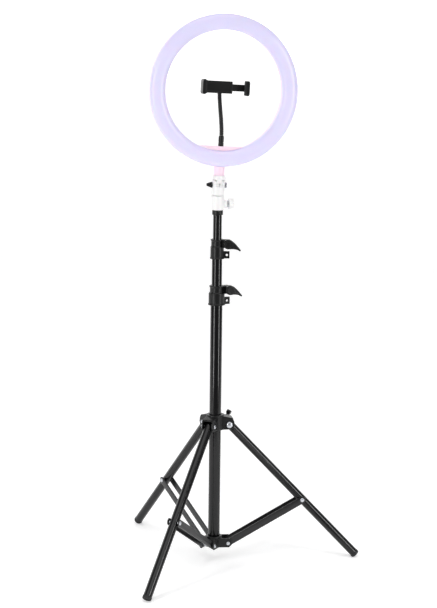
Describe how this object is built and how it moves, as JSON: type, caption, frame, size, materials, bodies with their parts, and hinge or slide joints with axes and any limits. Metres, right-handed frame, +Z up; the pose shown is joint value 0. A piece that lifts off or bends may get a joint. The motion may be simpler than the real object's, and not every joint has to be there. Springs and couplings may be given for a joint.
{
  "type": "ring light",
  "caption": "Ring lamp with a phone clamp on a gooseneck, on a swivelling, tilting adapter over a telescopic column and a linked folding tripod.",
  "frame": {"origin": "middle of the bounding box of the whole object, on the floor that the feet stand on", "axes": "+Z up along the column; the lamp faces -Y; +X to the right of someone facing the lamp"},
  "size_m": [0.4496, 0.4774, 1.0182],
  "materials": {
    "black_tube": "gloss black coated aluminium tube",
    "black_strip": "black painted steel strip",
    "black_plastic": "satin black moulded nylon",
    "rubber": "soft black rubber",
    "gooseneck_hose": "black sleeve over a spiral steel core",
    "bright_steel": "bright zinc plated steel",
    "white_plastic": "white moulded ABS",
    "pink_plastic": "pale pink moulded ABS",
    "milky_plastic": "milky acrylic, lit with a lavender tint",
    "board": "white coated circuit board"
  },
  "bodies": {
    "root": {"column_tube": "black_tube", "column_end_plug": "black_plastic", "bottom_hub": "black_plastic", "bottom_hub_pin": "bright_steel", "lower_lock_collar": "black_plastic", "lower_lock_bolt": "bright_steel", "right_brace_rivet": "bright_steel", "back_brace_rivet": "bright_steel", "front_brace_rivet": "bright_steel"},
    "lower_lever": {"lower_lock_lever": "black_plastic"},
    "middle": {"middle_tube": "black_tube", "middle_tube_bush": "black_plastic", "upper_lock_collar": "black_plastic", "upper_lock_bolt": "bright_steel"},
    "upper_lever": {"upper_lock_lever": "black_plastic"},
    "top": {"top_tube": "black_tube", "top_tube_bush": "black_plastic", "top_tube_collar": "black_plastic"},
    "adapter": {"adapter_socket": "white_plastic", "tilt_fork": "white_plastic", "tilt_bolt": "bright_steel"},
    "socket_knob": {"socket_knob": "white_plastic", "socket_screw": "bright_steel"},
    "tilt_knob": {"tilt_knob": "black_plastic"},
    "head": {"tilt_tongue": "white_plastic", "neck": "pink_plastic", "ring_shell": "pink_plastic", "diffuser": "milky_plastic", "led_board": "board", "base_block": "pink_plastic", "power_inlet": "black_plastic", "gooseneck_fitting": "black_plastic", "gooseneck": "gooseneck_hose", "ball_stud": "bright_steel"},
    "ball_nut": {"ball_nut": "black_plastic"},
    "clamp": {"clamp_body": "black_plastic", "fixed_pad": "rubber"},
    "jaw": {"sliding_jaw": "black_plastic", "sliding_pad": "rubber"},
    "hub": {"top_hub": "black_plastic", "right_leg_bolt": "bright_steel", "back_leg_bolt": "bright_steel", "front_leg_bolt": "bright_steel"},
    "hub_knob": {"hub_wing_knob": "black_plastic", "hub_knob_screw": "bright_steel"},
    "right_leg": {"right_leg_tube": "black_tube", "right_foot": "rubber", "right_leg_rivet": "bright_steel"},
    "right_braces": {"right_brace_a": "black_strip", "right_brace_b": "black_strip"},
    "back_leg": {"back_leg_tube": "black_tube", "back_foot": "rubber", "back_leg_rivet": "bright_steel"},
    "back_braces": {"back_brace_a": "black_strip", "back_brace_b": "black_strip"},
    "front_leg": {"front_leg_tube": "black_tube", "front_foot": "rubber", "front_leg_rivet": "bright_steel"},
    "front_braces": {"front_brace_a": "black_strip", "front_brace_b": "black_strip"}
  },
  "joints": [
    {"name": "hub_slide", "type": "slide", "parent": "root", "child": "hub", "axis": [0, 0, 1], "range_m": [0, 0.136]},
    {"name": "hub_knob_turn", "type": "hinge", "parent": "hub", "child": "hub_knob", "pos_m": [-0.04916, -0.01946, 0.261], "axis": [0.6211, 0.7837, 0], "range_deg": [0, 360]},
    {"name": "right_leg_fold", "type": "hinge", "parent": "hub", "child": "right_leg", "pos_m": [-0.02344, -0.02326, 0.2624], "axis": [0.1461, 0.9893, 0], "range_deg": [0, 43.6]},
    {"name": "right_brace_fold", "type": "hinge", "parent": "root", "child": "right_braces", "pos_m": [-0.02344, -0.02326, 0.0337], "axis": [0.1461, 0.9893, 0], "range_deg": [-59.63, 0]},
    {"name": "back_leg_fold", "type": "hinge", "parent": "hub", "child": "back_leg", "pos_m": [-0.05873, 0.00471, 0.2624], "axis": [-0.9298, -0.3681, 0], "range_deg": [0, 43.6]},
    {"name": "back_brace_fold", "type": "hinge", "parent": "root", "child": "back_braces", "pos_m": [-0.05873, 0.00471, 0.0337], "axis": [-0.9298, -0.3681, 0], "range_deg": [-59.63, 0]},
    {"name": "front_leg_fold", "type": "hinge", "parent": "hub", "child": "front_leg", "pos_m": [-0.06531, -0.03984, 0.2624], "axis": [0.7837, -0.6211, 0], "range_deg": [0, 43.6]},
    {"name": "front_brace_fold", "type": "hinge", "parent": "root", "child": "front_braces", "pos_m": [-0.06531, -0.03984, 0.0337], "axis": [0.7837, -0.6211, 0], "range_deg": [-59.63, 0]},
    {"name": "lower_lever_turn", "type": "hinge", "parent": "root", "child": "lower_lever", "pos_m": [-0.02732, -0.01678, 0.516], "axis": [0.1219, -0.9925, 0], "range_deg": [0, 110]},
    {"name": "middle_slide", "type": "slide", "parent": "root", "child": "middle", "axis": [0, 0, 1], "range_m": [-0.049, 0.27]},
    {"name": "upper_lever_turn", "type": "hinge", "parent": "middle", "child": "upper_lever", "pos_m": [-0.02918, -0.02408, 0.602], "axis": [-0.225, -0.9744, 0], "range_deg": [0, 110]},
    {"name": "top_slide", "type": "slide", "parent": "middle", "child": "top", "axis": [0, 0, 1], "range_m": [-0.044, 0.28]},
    {"name": "pan", "type": "hinge", "parent": "top", "child": "adapter", "pos_m": [-0.04916, -0.01946, 0], "axis": [0, 0, 1], "continuous": true},
    {"name": "socket_knob_turn", "type": "hinge", "parent": "adapter", "child": "socket_knob", "pos_m": [-0.04916, -0.01946, 0.675], "axis": [1, 0, 0], "range_deg": [0, 360]},
    {"name": "tilt", "type": "hinge", "parent": "adapter", "child": "head", "pos_m": [-0.04827, -0.01946, 0.70948], "axis": [0.999, 0, -0.0454], "range_deg": [-60, 60]},
    {"name": "tilt_knob_turn", "type": "hinge", "parent": "adapter", "child": "tilt_knob", "pos_m": [-0.04827, -0.01946, 0.70948], "axis": [-0.999, 0, 0.0454], "range_deg": [0, 360]},
    {"name": "clamp_tilt", "type": "hinge", "parent": "head", "child": "ball_nut", "pos_m": [-0.04022, -0.01346, 0.8868], "axis": [0.999, 0, -0.0454], "range_deg": [-15, 5]},
    {"name": "clamp_turn", "type": "hinge", "parent": "ball_nut", "child": "clamp", "pos_m": [-0.04022, -0.01346, 0.8868], "axis": [0, 1, 0], "range_deg": [-90, 90]},
    {"name": "jaw_slide", "type": "slide", "parent": "clamp", "child": "jaw", "axis": [0.999, 0, -0.0454], "range_m": [-0.018, 0.015]}
  ],
  "couplings": [
    {"joint": "right_leg_fold", "follows": "hub_slide", "rad_per_m": 5.5946},
    {"joint": "right_brace_fold", "follows": "hub_slide", "rad_per_m": -7.6517},
    {"joint": "back_leg_fold", "follows": "hub_slide", "rad_per_m": 5.5946},
    {"joint": "back_brace_fold", "follows": "hub_slide", "rad_per_m": -7.6517},
    {"joint": "front_leg_fold", "follows": "hub_slide", "rad_per_m": 5.5946},
    {"joint": "front_brace_fold", "follows": "hub_slide", "rad_per_m": -7.6517}
  ]
}
